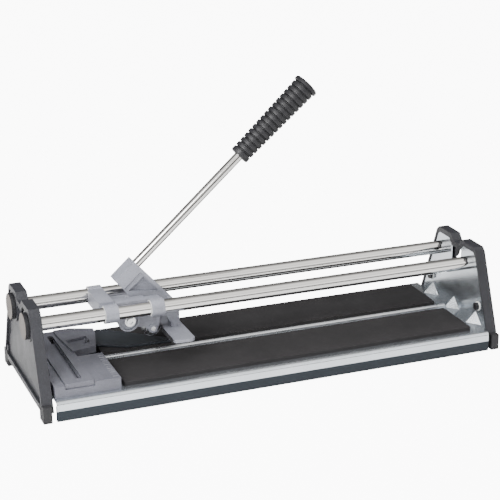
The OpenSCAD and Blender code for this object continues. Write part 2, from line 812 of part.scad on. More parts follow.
module lever_rod() {
    color("gainsboro") lever_frame() rod_x(socket_u0 + 0.1, socket_u0 + rod_l, rod_d, 0, rod_w);
}

module rod_set_screw() {
    color([0.15, 0.15, 0.16]) lever_frame() difference() {
        rod_y(rod_d / 2 + 0.05, block_half - 0.3, 5, block_u0 + 13, rod_w);
        rod_y(block_half - 1.6, block_half + 1, 2.9, block_u0 + 13, rod_w, $fn = 6);
    }
}

// Half profile of the grip along the rod: a collar, rows of ribs and a flared end
function grip_profile() = let (
    collar = 6, flare = 7,
    pitch = (grip_l - collar - flare) / grip_ribs,
    radius = function(s) grip_r0 + (grip_r1 - grip_r0) * s) concat(
        [[0, 0], [0, grip_r0 - 1.2], [1.2, grip_r0], [collar - 1, grip_r0]],
        [for (i = [0 : grip_ribs - 1], p = [[0.06, 1], [0.26, 1], [0.38, 0], [0.82, 0], [0.94, 1]])
            [collar + (i + p[0]) * pitch, radius((i + p[0]) / grip_ribs) - p[1] * grip_groove]],
        [[grip_l - flare + 0.6, grip_cap_r], [grip_l - 2, grip_cap_r],
         [grip_l, grip_cap_r - 2.5], [grip_l, 0]]);

module grip() {
    color([0.12, 0.12, 0.13]) lever_frame() translate([grip_u0, 0, rod_w]) difference() {
        rotate([0, 90, 0]) rotate_extrude() polygon([for (p = grip_profile()) [p[1], p[0]]]);
        rotate([0, 90, 0]) translate([0, 0, -1])
            cylinder(h = socket_u0 + rod_l - grip_u0 + 1.2, d = rod_d + 2 * tap_fit);
    }
}

module wing_pad() {
    inset = 1;
    lip = 1.6;
    reach = wing_w / 2 - wing_corner_r;
    color([0.1, 0.1, 0.11]) translate([pivot_x, 0, pivot_z]) difference() {
        union() {
            translate([wing_dx - lip, -wing_w / 2 + inset, wing_dz - wing_pad_t])
                round_plate(wing_l + lip - inset, wing_w - 2 * inset, wing_pad_t, wing_corner_r - inset);
            box([wing_dx - lip, -reach, wing_dz - wing_pad_t], [wing_dx, reach, wing_dz + wing_t - 0.4]);
        }
        rod_y(-cheek_in - 0.2, cheek_in + 0.2, wheel_d + 2 * wheel_gap + 0.4, wheel_at[0], wheel_at[1]);
    }
}

module scoring_wheel() {
    r = wheel_d / 2;
    bevel = 0.8;
    color("gainsboro") translate([pivot_x + wheel_at[0], 0, pivot_z + wheel_at[1]]) rotate([90, 0, 0])
        rotate_extrude()
            polygon([[axle_d / 2 + run_fit, -wheel_w / 2], [r / 2, -wheel_w / 2], [r / 2 + 1, -bevel - 0.6],
                     [r - 1.6, -bevel], [r, 0], [r - 1.6, bevel], [r / 2 + 1, bevel + 0.6],
                     [r / 2, wheel_w / 2], [axle_d / 2 + run_fit, wheel_w / 2]]);
}

module wheel_axle() {
    color("gainsboro") translate([pivot_x + wheel_at[0], 0, pivot_z + wheel_at[1]]) {
        rod_y(-boss_half - 0.9, boss_half + 4.2, axle_d, 0, 0);
    }
}

module wheel_nut() {
    nut_t = 3.6;
    color("silver") translate([pivot_x + wheel_at[0], 0, pivot_z + wheel_at[1]]) difference() {
        rod_y(boss_half, boss_half + nut_t, 8 / cos(30), 0, 0, $fn = 6);
        rod_y(boss_half - 1, boss_half + nut_t + 1, axle_d + 2 * tap_fit, 0, 0);
    }
}

base_tray();
breaking_ridge();
pad_front();
pad_rear();
front_strip();
rear_strip();
end_cap_left();
end_cap_right();
rubber_feet();
guide_tube_front();
guide_tube_rear();
tube_inserts();
tube_screws();
tube_covers();
cap_screws();
cap_washers();
fence_base();
fence_screws();
guide_slider();
guide_lock_screw();
swing_arm();
swing_arm_screw();
carriage();
sleeve_bushes();
pivot_bolt();
pivot_washers();
pivot_nut();
lever_casting();
lever_rod();
rod_set_screw();
grip();
wing_pad();
scoring_wheel();
wheel_axle();
wheel_nut();
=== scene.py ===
"""Looks of a manual tile cutter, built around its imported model.

Every mesh is in metres in the model's own frame: X along the guide tubes, Y from front to
rear, Z up, with the origin on the bench under the middle of the base.
"""

from __future__ import annotations

import logging
import math
from dataclasses import dataclass, field
from enum import Enum
from typing import ClassVar

import bmesh
import bpy
from mathutils import Matrix, Vector


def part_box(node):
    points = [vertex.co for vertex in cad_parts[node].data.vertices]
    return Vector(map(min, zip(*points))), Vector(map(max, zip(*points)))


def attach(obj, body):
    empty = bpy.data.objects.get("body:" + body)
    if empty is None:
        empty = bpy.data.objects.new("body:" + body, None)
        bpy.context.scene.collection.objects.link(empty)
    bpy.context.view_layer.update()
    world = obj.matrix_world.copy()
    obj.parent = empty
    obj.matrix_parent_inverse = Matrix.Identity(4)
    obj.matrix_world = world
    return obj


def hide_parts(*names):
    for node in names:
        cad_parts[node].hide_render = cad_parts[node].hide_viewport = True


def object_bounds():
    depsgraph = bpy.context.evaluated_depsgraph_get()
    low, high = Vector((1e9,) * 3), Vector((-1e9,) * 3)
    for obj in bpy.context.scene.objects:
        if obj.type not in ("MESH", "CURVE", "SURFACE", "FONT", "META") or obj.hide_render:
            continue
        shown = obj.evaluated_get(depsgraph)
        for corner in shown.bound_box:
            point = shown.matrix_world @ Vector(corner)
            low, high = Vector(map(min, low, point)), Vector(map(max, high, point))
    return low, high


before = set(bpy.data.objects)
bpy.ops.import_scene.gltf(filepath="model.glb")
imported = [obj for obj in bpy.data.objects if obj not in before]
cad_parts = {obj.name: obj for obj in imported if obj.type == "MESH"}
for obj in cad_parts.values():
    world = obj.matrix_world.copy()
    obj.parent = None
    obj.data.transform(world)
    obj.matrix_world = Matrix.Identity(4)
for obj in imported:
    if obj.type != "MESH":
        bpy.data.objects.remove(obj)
CAD_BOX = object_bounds()
MM = 0.001
WELD = 2e-6
FLAT_DEG = 0.6
RGB = tuple[float, float, float]
Profile = list[tuple[float, float]]
Stops = tuple[tuple[float, float], ...]

logging.basicConfig(level=logging.INFO, format="%(message)s")
log = logging.getLogger("tile_cutter")


class Body(Enum):
    """The rigid bodies that pieces ride on."""

    BASE = "base"
    GUIDE = "guide"
    ARM = "arm"
    CARRIAGE = "carriage"
    LEVER = "lever"
    WHEEL = "wheel"


class Grain(Enum):
    """How a surface's fine relief is made."""

    CAST = "cast"
    SPRAY = "spray"
    MOULD = "mould"
    FOAM = "foam"
    DRAWN = "drawn"


# ---------------------------------------------------------------- shader maths


class Sock:
    """A shader socket whose operators add Math nodes."""

    def __init__(self, graph: "Graph", socket: bpy.types.NodeSocket) -> None:
        """Wraps one output socket of a graph."""
        self.graph = graph
        self.socket = socket

    def _math(self, operation: str, first: object, second: object) -> "Sock":
        """Adds one Math node.

        Args:
            operation: The Math node's operation.
            first: A number or a wrapped socket.
            second: A number or a wrapped socket.

        Returns:
            The wrapped result.
        """
        inputs = {0: first, 1: second}
        return self.graph.out(self.graph.node("ShaderNodeMath", {"operation": operation}, inputs))

    def __add__(self, other: object) -> "Sock":
        """Sum."""
        return self._math("ADD", self, other)

    def __radd__(self, other: object) -> "Sock":
        """Sum, reflected."""
        return self._math("ADD", other, self)

    def __sub__(self, other: object) -> "Sock":
        """Difference."""
        return self._math("SUBTRACT", self, other)

    def __rsub__(self, other: object) -> "Sock":
        """Difference, reflected."""
        return self._math("SUBTRACT", other, self)

    def __mul__(self, other: object) -> "Sock":
        """Product."""
        return self._math("MULTIPLY", self, other)

    def __rmul__(self, other: object) -> "Sock":
        """Product, reflected."""
        return self._math("MULTIPLY", other, self)

    def above(self, other: object) -> "Sock":
        """1 where this value is greater, otherwise 0."""
        return self._math("GREATER_THAN", self, other)

    def below(self, other: object) -> "Sock":
        """1 where this value is smaller, otherwise 0."""
        return self._math("LESS_THAN", self, other)

    def size(self) -> "Sock":
        """The value without its sign."""
        return self._math("ABSOLUTE", self, 0.0)

    def fraction(self) -> "Sock":
        """The part after the decimal point."""
        return self._math("FRACT", self, 0.0)


class Graph:
    """The node tree of one material."""

    def __init__(self, name: str) -> None:
        """Starts an empty material.

        Args:
            name: The material's name.
        """
        self.material = bpy.data.materials.new(name)
        self.material.use_nodes = True
        self.tree = self.material.node_tree
        self.tree.nodes.clear()

    def node(
        self, kind: str, settings: dict | None = None, inputs: dict | None = None
    ) -> bpy.types.Node:
        """Adds a node.

        Args:
            kind: The node's type.
            settings: Attributes to set first.
            inputs: Socket values or links, by socket name or number.

        Returns:
            The new node.
        """
        made = self.tree.nodes.new(kind)
        for key, value in (settings or {}).items():
            setattr(made, key, value)
        for key, value in (inputs or {}).items():
            if isinstance(value, Sock):
                self.tree.links.new(value.socket, made.inputs[key])
            else:
                made.inputs[key].default_value = value
        return made

    def out(self, node: bpy.types.Node, name: str | int = 0) -> Sock:
        """Wraps an output socket of a node."""
        return Sock(self, node.outputs[name])

    def coords(self, stretch: tuple[float, float, float] = (1.0, 1.0, 1.0)) -> Sock:
        """Object coordinates, stretched by a Mapping node."""
        where = self.node("ShaderNodeTexCoord")
        mapping = self.node(
            "ShaderNodeMapping", None, {"Vector": self.out(where, "Object"), "Scale": stretch}
        )
        return self.out(mapping)

    def noise(self, vector: Sock, scale: float, detail: float = 3.0, rough: float = 0.55) -> Sock:
        """A noise texture's value.

        Args:
            vector: The coordinates.
            scale: Cells per metre.
            detail: Octaves.
            rough: Roughness of the octaves.

        Returns:
            The wrapped value, from 0 to 1.
        """
        inputs = {"Vector": vector, "Scale": scale, "Detail": detail, "Roughness": rough}
        return self.out(self.node("ShaderNodeTexNoise", None, inputs))

    def ramp(self, value: Sock, low: float, high: float) -> Sock:
        """Maps a range of a value to 0 to 1, clamped."""
        inputs = {"Value": value, "From Min": low, "From Max": high}
        return self.out(self.node("ShaderNodeMapRange", {"clamp": True}, inputs))

    def mix(self, mask: Sock, first: object, second: object) -> Sock:
        """Mixes two colours by a mask."""
        made = self.node("ShaderNodeMix", {"data_type": "RGBA"}, {0: mask, 6: first, 7: second})
        return self.out(made, 2)

    def bump(self, height: Sock, depth: float) -> Sock:
        """A Bump node.

        Args:
            height: The relief, from 0 to 1.
            depth: Its depth in metres.

        Returns:
            The wrapped normal.
        """
        inputs = {"Height": height, "Distance": depth, "Strength": 1.0}
        return self.out(self.node("ShaderNodeBump", None, inputs))

    def surface(self, inputs: dict) -> bpy.types.Material:
        """Adds the Principled shader and the output.

        Args:
            inputs: Its socket values or links.

        Returns:
            The finished material.
        """
        shader = self.node("ShaderNodeBsdfPrincipled", None, inputs)
        self.node("ShaderNodeOutputMaterial", None, {"Surface": self.out(shader)})
        return self.material


# -------------------------------------------------------------------- finishes


@dataclass(frozen=True)
class Graduation:
    """A row of printed marks on top of the fence.

    Attributes:
        right: X of the marks' right ends.
        front: Y of the first mark.
        top: Z of the fence's top face.
        pitch: Distance between marks.
        width: Width of each mark.
        length: Length of each mark.
        count: Number of marks.
        margin: Distance from the marks to the fence's right edge.
        first: Distance from the fence's front face to the first mark.
        skin: How far under the top face a mark may lie.
    """

    right: float
    front: float
    top: float
    pitch: float = 5.0 * MM
    width: float = 0.9 * MM
    length: float = 6.0 * MM
    count: int = 12
    margin: ClassVar[float] = 1.0 * MM
    first: ClassVar[float] = 6.0 * MM
    skin: ClassVar[float] = 1.0 * MM

    @classmethod
    def of_fence(cls) -> "Graduation":
        """The row on the CAD fence."""
        low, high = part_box("fence_base")
        return cls(high.x - cls.margin, low.y + cls.first, high.z)

    def mask(self, graph: Graph) -> Sock:
        """A mask that is 1 on the marks.

        Args:
            graph: The material's graph.

        Returns:
            The wrapped mask.
        """
        split = graph.node("ShaderNodeSeparateXYZ", None, {0: graph.coords()})
        x, y, z = (graph.out(split, axis) for axis in range(3))
        phase = ((y - self.front) * (1.0 / self.pitch) + 0.5).fraction()
        half = self.width / self.pitch / 2
        bars = phase.above(0.5 - half) * phase.below(0.5 + half)
        across = x.above(self.right - self.length) * x.below(self.right)
        last = self.front + (self.count - 0.5) * self.pitch
        along = y.above(self.front - 0.5 * self.pitch) * y.below(last)
        return bars * across * along * z.above(self.top - self.skin)


@dataclass(frozen=True)
class Finish:
    """A surface finish.

    Attributes:
        slot: The record's material slot.
        color: Linear base colour.
        rough: Roughness of clean areas.
        metal: Metallic share.
        grain: How the fine relief is made.
        grain_mm: Size of the relief's cells.
        depth_mm: Depth of the relief.
        mottle: How far the colour varies.
        scuff: Share of the surface with rubbed, brighter specks.
        shine: Specular level; 0.5 is the usual value of a dielectric.
        marks: Whether light graduation marks are printed along the fence.
        side_color: Colour of the parts nearer to the middle than the outer face, if it differs.
        broad_scale: Patches of colour per metre.
        wear_scale: Patches of roughness per metre.
        scuff_scale: Rubbed patches per metre.
        scratch_scale: Fine scratches per metre.
        swing: How far the roughness varies.
        mark_color: Colour of the marks, with alpha.
        skin: How far under the outer face the outer colour goes.
    """

    slot: str
    color: RGB
    rough: float
    metal: float = 0.0
    grain: Grain = Grain.SPRAY
    grain_mm: float = 0.5
    depth_mm: float = 0.01
    mottle: float = 0.06
    scuff: float = 0.0
    shine: float = 0.5
    marks: bool = False
    side_color: RGB | None = None
    broad_scale: ClassVar[float] = 22.0
    wear_scale: ClassVar[float] = 60.0
    scuff_scale: ClassVar[float] = 35.0
    scratch_scale: ClassVar[float] = 900.0
    swing: ClassVar[float] = 0.12
    mark_color: ClassVar[tuple[float, float, float, float]] = (0.25, 0.255, 0.28, 1.0)
    skin: ClassVar[float] = 0.25 * MM

    def _shade(self, factor: float) -> tuple[float, float, float, float]:
        """The base colour times a factor, with alpha."""
        red, green, blue = (min(1.0, c * factor) for c in self.color)
        return (red, green, blue, 1.0)

    def _relief(self, graph: Graph, where: Sock) -> Sock:
        """The fine relief's height.

        Args:
            graph: The material's graph.
            where: Object coordinates.

        Returns:
            A height from 0 to 1.
        """
        scale = 1.0 / (self.grain_mm * MM)
        if self.grain is Grain.FOAM:
            inputs = {"Vector": where, "Scale": scale}
            cells = graph.node("ShaderNodeTexVoronoi", {"feature": "F1"}, inputs)
            return graph.out(cells, "Distance") * 0.6 + graph.noise(where, scale * 0.45, 4.0) * 0.5
        if self.grain is Grain.MOULD:
            return graph.ramp(graph.noise(where, scale, 2.0), 0.35, 0.65)
        if self.grain is Grain.DRAWN:
            return graph.noise(graph.coords((0.02, 1.0, 1.0)), scale, 3.0)
        if self.grain is Grain.CAST:
            fine = graph.noise(where, scale, 4.0, 0.6) * 0.75
            return fine + graph.noise(where, scale * 0.2, 2.0) * 0.25
        return graph.noise(where, scale, 3.0)

    def _base(self, graph: Graph, where: Sock) -> tuple[Sock, Sock]:
        """The colour and the roughness of clean areas.

        Args:
            graph: The material's graph.
            where: Object coordinates.

        Returns:
            Colour and roughness.
        """
        broad = graph.ramp(graph.noise(where, self.broad_scale, 4.0), 0.3, 0.7)
        speck = graph.noise(where, 1.0 / (self.grain_mm * MM) * 0.8, 2.0)
        tone = graph.mix(broad, self._shade(1.0 - self.mottle), self._shade(1.0 + self.mottle))
        pits = graph.ramp(speck, 0.45, 0.75) * (self.mottle * 3.0)
        tone = graph.mix(pits, tone, self._shade(0.55))
        worn = graph.ramp(graph.noise(where, self.wear_scale, 5.0), 0.25, 0.75)
        return tone, worn * self.swing + (self.rough - self.swing / 2)

    def _rubbed(self, graph: Graph, where: Sock, tone: Sock, rough: Sock) -> tuple[Sock, Sock]:
        """Adds rubbed patches with fine scratches.

        Args:
            graph: The material's graph.
            where: Object coordinates.
            tone: The colour so far.
            rough: The roughness so far.

        Returns:
            Colour and roughness.
        """
        least = 0.62 - self.scuff * 0.2
        patches = graph.ramp(graph.noise(where, self.scuff_scale, 5.0, 0.7), least, 0.72)
        streaks = graph.noise(graph.coords((0.35, 1.0, 1.6)), self.scratch_scale, 3.0)
        rubbed = patches * graph.ramp(streaks, 0.52, 0.66) * 0.7
        return graph.mix(rubbed, tone, self._shade(1.7)), rough - rubbed * self.swing

    def material(self) -> bpy.types.Material:
        """Builds the material once, and returns it again afterwards."""
        name = f"{self.slot}_finish"
        made = bpy.data.materials.get(name)
        if made is not None:
            return made
        graph = Graph(name)
        where = graph.coords()
        tone, rough = self._base(graph, where)
        if self.scuff > 0.0:
            tone, rough = self._rubbed(graph, where, tone, rough)
        if self.marks:
            tone = graph.mix(Graduation.of_fence().mask(graph), tone, self.mark_color)
        if self.side_color is not None:
            split = graph.node("ShaderNodeSeparateXYZ", None, {0: where})
            outer = graph.out(split, 0).size().above(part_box("tube_covers")[1].x - self.skin)
            tone = graph.mix(outer, (*self.side_color, 1.0), tone)
        return graph.surface({
            "Base Color": tone,
            "Roughness": rough,
            "Metallic": self.metal,
            "Specular IOR Level": self.shine,
            "Normal": graph.bump(self._relief(graph, where), self.depth_mm * MM),
        })


TRAY = Finish(
    "tray_steel", (0.66, 0.70, 0.745), 0.22, 0.95, Grain.SPRAY, 0.35, 0.004, 0.04, 0.12,
)
RIDGE = Finish(
    "ridge_steel", (0.60, 0.62, 0.64), 0.30, 0.9, Grain.DRAWN, 0.25, 0.005, 0.04, 0.2,
)
FOAM = Finish(
    "foam", (0.0245, 0.0235, 0.0245), 0.95, 0.0, Grain.FOAM, 0.9, 0.14, 0.12, shine=0.12,
)
STRIP = Finish(
    "strip_plastic", (0.0125, 0.0175, 0.0235), 0.50, 0.0, Grain.MOULD, 0.6, 0.012, 0.05, shine=0.25,
)
CAP = Finish(
    "cap_plastic", (0.022, 0.0225, 0.027), 0.42, 0.0, Grain.MOULD, 1.0, 0.11, 0.20, 0.45,
    shine=0.35,
)
RUBBER = Finish(
    "black_rubber", (0.019, 0.019, 0.021), 0.60, 0.0, Grain.MOULD, 0.5, 0.02, 0.10, shine=0.3,
)
CHROME = Finish("tube_chrome", (0.70, 0.69, 0.675), 0.08, 1.0, Grain.DRAWN, 0.4, 0.0006, 0.02)
ZINC = Finish("zinc_steel", (0.70, 0.71, 0.72), 0.24, 1.0, Grain.CAST, 0.5, 0.004, 0.08, 0.3)
BLACK_STEEL = Finish(
    "black_steel", (0.025, 0.025, 0.028), 0.38, 0.4, Grain.SPRAY, 0.3, 0.004, 0.10,
)
NYLON = Finish("nylon", (0.70, 0.70, 0.68), 0.45, 0.0, Grain.MOULD, 0.4, 0.006, 0.03)
FENCE = Finish(
    "fence_paint", (0.118, 0.120, 0.142), 0.42, 0.25, Grain.CAST, 0.9, 0.11, 0.17, 0.45,
    shine=0.4, marks=True,
)
ARM = Finish(
    "arm_paint", (0.030, 0.034, 0.041), 0.38, 0.3, Grain.CAST, 0.8, 0.05, 0.12, 0.5, shine=0.35,
)
CASTING = Finish(
    "zinc_casting", (0.240, 0.248, 0.288), 0.42, 0.22, Grain.CAST, 1.1, 0.17, 0.17, 0.55,
)
GRIP = Finish(
    "grip_rubber", (0.014, 0.014, 0.016), 0.46, 0.0, Grain.MOULD, 0.45, 0.02, 0.12, shine=0.35,
)
CARBIDE = Finish("carbide", (0.42, 0.43, 0.45), 0.28, 1.0, Grain.CAST, 0.3, 0.004, 0.10)
COVER = Finish(
    "cover_plastic", (0.085, 0.072, 0.064), 0.50, 0.0, Grain.MOULD, 0.6, 0.02, 0.08, shine=0.35,
    side_color=(0.012, 0.012, 0.014),
)


# --------------------------------------------------------------------- meshes


def bevel(bm: bmesh.types.BMesh, edges: list, width: float, segments: int) -> None:
    """Rounds edges.

    Args:
        bm: The mesh.
        edges: Its edges to round.
        width: Width of the bevel in metres.
        segments: Its segments.
    """
    bmesh.ops.bevel(
        bm, geom=edges, offset=width, offset_type="OFFSET", segments=segments, profile=0.5,
        affect="EDGES", clamp_overlap=True, material=-1,
    )


class Mould:
    """One piece's mesh while it is being shaped.

    Attributes:
        round_over_deg: Edges over this angle are rounded.
        shortest: Edges shorter than this many bevel widths are left.
        sharp_over_deg: Edges over this angle stay sharp when shaded.
    """

    round_over_deg: ClassVar[float] = 30.0
    shortest: ClassVar[float] = 1.5
    sharp_over_deg: ClassVar[float] = 38.0

    def __init__(self) -> None:
        """Starts an empty mesh."""
        self.bm = bmesh.new()

    @classmethod
    def copy_of(cls, node: str) -> "Mould":
        """A welded copy of a CAD node with its flat faces joined up.

        Args:
            node: The CAD node's name.

        Returns:
            The copy.
        """
        made = cls()
        made.bm.from_mesh(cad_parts[node].data)
        bmesh.ops.remove_doubles(made.bm, verts=made.bm.verts, dist=WELD)
        bmesh.ops.dissolve_limit(
            made.bm, angle_limit=math.radians(FLAT_DEG), verts=made.bm.verts, edges=made.bm.edges
        )
        return made

    @classmethod
    def turned(cls, profile: Profile, origin: Vector, axis: Vector, steps: int) -> "Mould":
        """A profile turned round an axis.

        Args:
            profile: (distance along the axis, radius) pairs, in metres.
            origin: Where the axis starts.
            axis: Its direction.
            steps: Steps of the full turn.

        Returns:
            The turned mesh.
        """
        made = cls()
        axis = axis.normalized()
        side = axis.orthogonal().normalized()
        verts = [made.bm.verts.new(origin + axis * s + side * r) for s, r in profile]
        edges = [made.bm.edges.new(pair) for pair in zip(verts, verts[1:])]
        bmesh.ops.spin(
            made.bm, geom=verts + edges, cent=origin, axis=axis, angle=math.tau, steps=steps,
            use_merge=True,
        )
        bmesh.ops.remove_doubles(made.bm, verts=made.bm.verts, dist=WELD)
        bmesh.ops.recalc_face_normals(made.bm, faces=made.bm.faces)
        return made

    @classmethod
    def block(cls, low: Vector, high: Vector) -> "Mould":
        """A box between two corners."""
        made = cls()
        size = high - low
        place = Matrix.Translation((low + high) / 2) @ Matrix.Diagonal((*size, 1.0))
        bmesh.ops.create_cube(made.bm, size=1.0, matrix=place)
        return made

    def round_edges(self, width: float, segments: int) -> "Mould":
        """Bevels the sharp edges that are long enough.

        Args:
            width: Width of the bevel in metres.
            segments: Its segments.

        Returns:
            The same mould.
        """
        limit = math.radians(self.round_over_deg)
        edges = [
            e
            for e in self.bm.edges
            if len(e.link_faces) == 2
            and abs(e.calc_face_angle(0.0)) > limit
            and e.calc_length() > self.shortest * width
        ]
        bevel(self.bm, edges, width, segments)
        return self

    def piece(self, name: str, finish: Finish, body: Body, stands_for: str) -> bpy.types.Object:
        """Makes the object, dresses it and puts it on its body.

        Args:
            name: The piece's name.
            finish: Its finish.
            body: The body it rides on.
            stands_for: The CAD node it replaces.

        Returns:
            The finished object.
        """
        limit = math.radians(self.sharp_over_deg)
        for face in self.bm.faces:
            face.smooth = True
        for edge in self.bm.edges:
            edge.smooth = edge.calc_face_angle(0.0) < limit
        mesh = bpy.data.meshes.new(name)
        self.bm.to_mesh(mesh)
        self.bm.free()
        made = bpy.data.objects.new(name, mesh)
        bpy.context.scene.collection.objects.link(made)
        made.data.materials.append(finish.material())
        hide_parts(stands_for)
        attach(made, body.value)
        log.info("piece %s: %d faces", name, len(mesh.polygons))
        return made


def weighted(piece: bpy.types.Object) -> bpy.types.Object:
    """Adds weighted normals, so that large flat faces shade flat beside their bevels."""
    modifier = piece.modifiers.new("weighted", "WEIGHTED_NORMAL")
    modifier.keep_sharp = True
    modifier.weight = 80
    return piece


def dress(node: str, finish: Finish) -> None:
    """Gives a CAD node that stays its finish.

    Args:
        node: The CAD node's name.
        finish: Its finish.
    """
    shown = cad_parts[node]
    shown.data.materials.clear()
    shown.data.materials.append(finish.material())


@dataclass
class SubAssembly:
    """A group of pieces that is built together."""

    body: Body = Body.BASE
    made: list[bpy.types.Object] = field(default_factory=list)

    def soften(self, node: str, finish: Finish, width_mm: float, segments: int = 2) -> None:
        """Replaces a CAD node by a copy with rounded edges.

        Args:
            node: The CAD node's name.
            finish: The copy's finish.
            width_mm: Width of its rounded edges.
            segments: Segments of each rounded edge.
        """
        mould = Mould.copy_of(node).round_edges(width_mm * MM, segments)
        self.made.append(weighted(mould.piece(f"{node}_body", finish, self.body, node)))

    def turn(
        self, name: str, node: str, profile: Profile, origin: Vector, axis: Vector,
        finish: Finish, steps: int,
    ) -> None:
        """Replaces a CAD node by a turned piece.

        Args:
            name: The new piece's name.
            node: The CAD node it stands for.
            profile: (distance along the axis, radius) pairs, in metres.
            origin: Where the axis starts.
            axis: Its direction.
            finish: The piece's finish.
            steps: Steps of the full turn.
        """
        mould = Mould.turned(profile, origin, axis, steps)
        self.made.append(mould.piece(name, finish, self.body, node))


# ---------------------------------------------------------------- sub-assemblies


@dataclass
class Tray(SubAssembly):
    """The pressed tray, its pads, ridge, strips and feet.

    Attributes:
        corner_mm: Radius of the pads' upright corners.
        rim_mm: Radius of their top edge.
    """

    corner_mm: float = 2.0
    rim_mm: float = 0.8
    def build(self) -> None:
        """Makes every piece of the tray."""
        self.soften("base_tray", TRAY, 0.3)
        self.soften("breaking_ridge", RIDGE, 0.3)
        for node in ("front_strip", "rear_strip"):
            self.soften(node, STRIP, 0.4)
        self.soften("rubber_feet", RUBBER, 0.7)
        for node in ("pad_front", "pad_rear"):
            self.pad(node)

    def pad(self, node: str) -> None:
        """A foam pad with soft edges and corners.

        Args:
            node: The CAD node it stands for.
        """
        low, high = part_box(node)
        mould = Mould.block(low, high)
        bm = mould.bm
        upright = [e for e in bm.edges if abs((e.verts[0].co - e.verts[1].co).normalized().z) > 0.9]
        bevel(bm, upright, self.corner_mm * MM, 5)
        top = [e for e in bm.edges if min(v.co.z for v in e.verts) > high.z - 1e-6]
        bevel(bm, top, self.rim_mm * MM, 4)
        piece = weighted(mould.piece(f"{node}_foam", FOAM, self.body, node))
        self.made.append(piece)


@dataclass
class EndCaps(SubAssembly):
    """The two moulded caps with their tube covers and screws."""

    def build(self) -> None:
        """Makes every piece of both ends."""
        for node in ("end_cap_left", "end_cap_right"):
            self.soften(node, CAP, 0.7, 3)
        self.soften("tube_covers", COVER, 0.5)
        self.soften("cap_screws", BLACK_STEEL, 0.3)
        self.soften("cap_washers", NYLON, 0.15)
        for node in ("tube_inserts", "tube_screws"):
            dress(node, ZINC)


@dataclass
class GuideTubes(SubAssembly):
    """The two chromed tubes that the carriage runs on.

    Attributes:
        wall_mm: Thickness of a tube's wall.
        round_mm: Size of the bevels at its ends.
    """

    wall_mm: float = 1.5
    round_mm: float = 0.3

    def build(self) -> None:
        """Turns both tubes."""
        for node in ("guide_tube_front", "guide_tube_rear"):
            low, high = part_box(node)
            radius = (high.z - low.z) / 2
            length = high.x - low.x
            bore, lip = radius - self.wall_mm * MM, self.round_mm * MM
            profile = [
                (lip, bore), (0.0, bore + lip), (0.0, radius - lip), (lip, radius),
                (length - lip, radius), (length, radius - lip), (length, bore + lip),
                (length - lip, bore), (lip, bore),
            ]
            origin = Vector((low.x, (low.y + high.y) / 2, (low.z + high.z) / 2))
            self.turn(f"{node}_chromed", node, profile, origin, Vector((1, 0, 0)), CHROME, 128)


@dataclass
class Fence(SubAssembly):
    """The measuring fence with its screws."""

    def build(self) -> None:
        """Makes the fixed part of the fence."""
        self.soften("fence_base", FENCE, 0.5)
        self.soften("guide_lock_screw", BLACK_STEEL, 0.3)
        dress("fence_screws", ZINC)


@dataclass
class Guide(SubAssembly):
    """The sliding bar with its stop head."""

    body: Body = Body.GUIDE

    def build(self) -> None:
        """Makes the slider and its pivot screw."""
        self.soften("guide_slider", FENCE, 0.6, 3)
        dress("swing_arm_screw", ZINC)


@dataclass
class SwingArm(SubAssembly):
    """The swinging mitre arm."""

    body: Body = Body.ARM

    def build(self) -> None:
        """Makes the arm."""
        self.soften("swing_arm", ARM, 0.5)


@dataclass
class Carriage(SubAssembly):
    """The die-cast carriage with bushes and pivot hardware."""

    body: Body = Body.CARRIAGE

    def build(self) -> None:
        """Makes every piece of the carriage."""
        self.soften("carriage", CASTING, 0.6, 3)
        self.soften("pivot_bolt", ZINC, 0.35)
        self.soften("pivot_washers", ZINC, 0.2)
        self.soften("pivot_nut", ZINC, 0.3)
        dress("sleeve_bushes", NYLON)


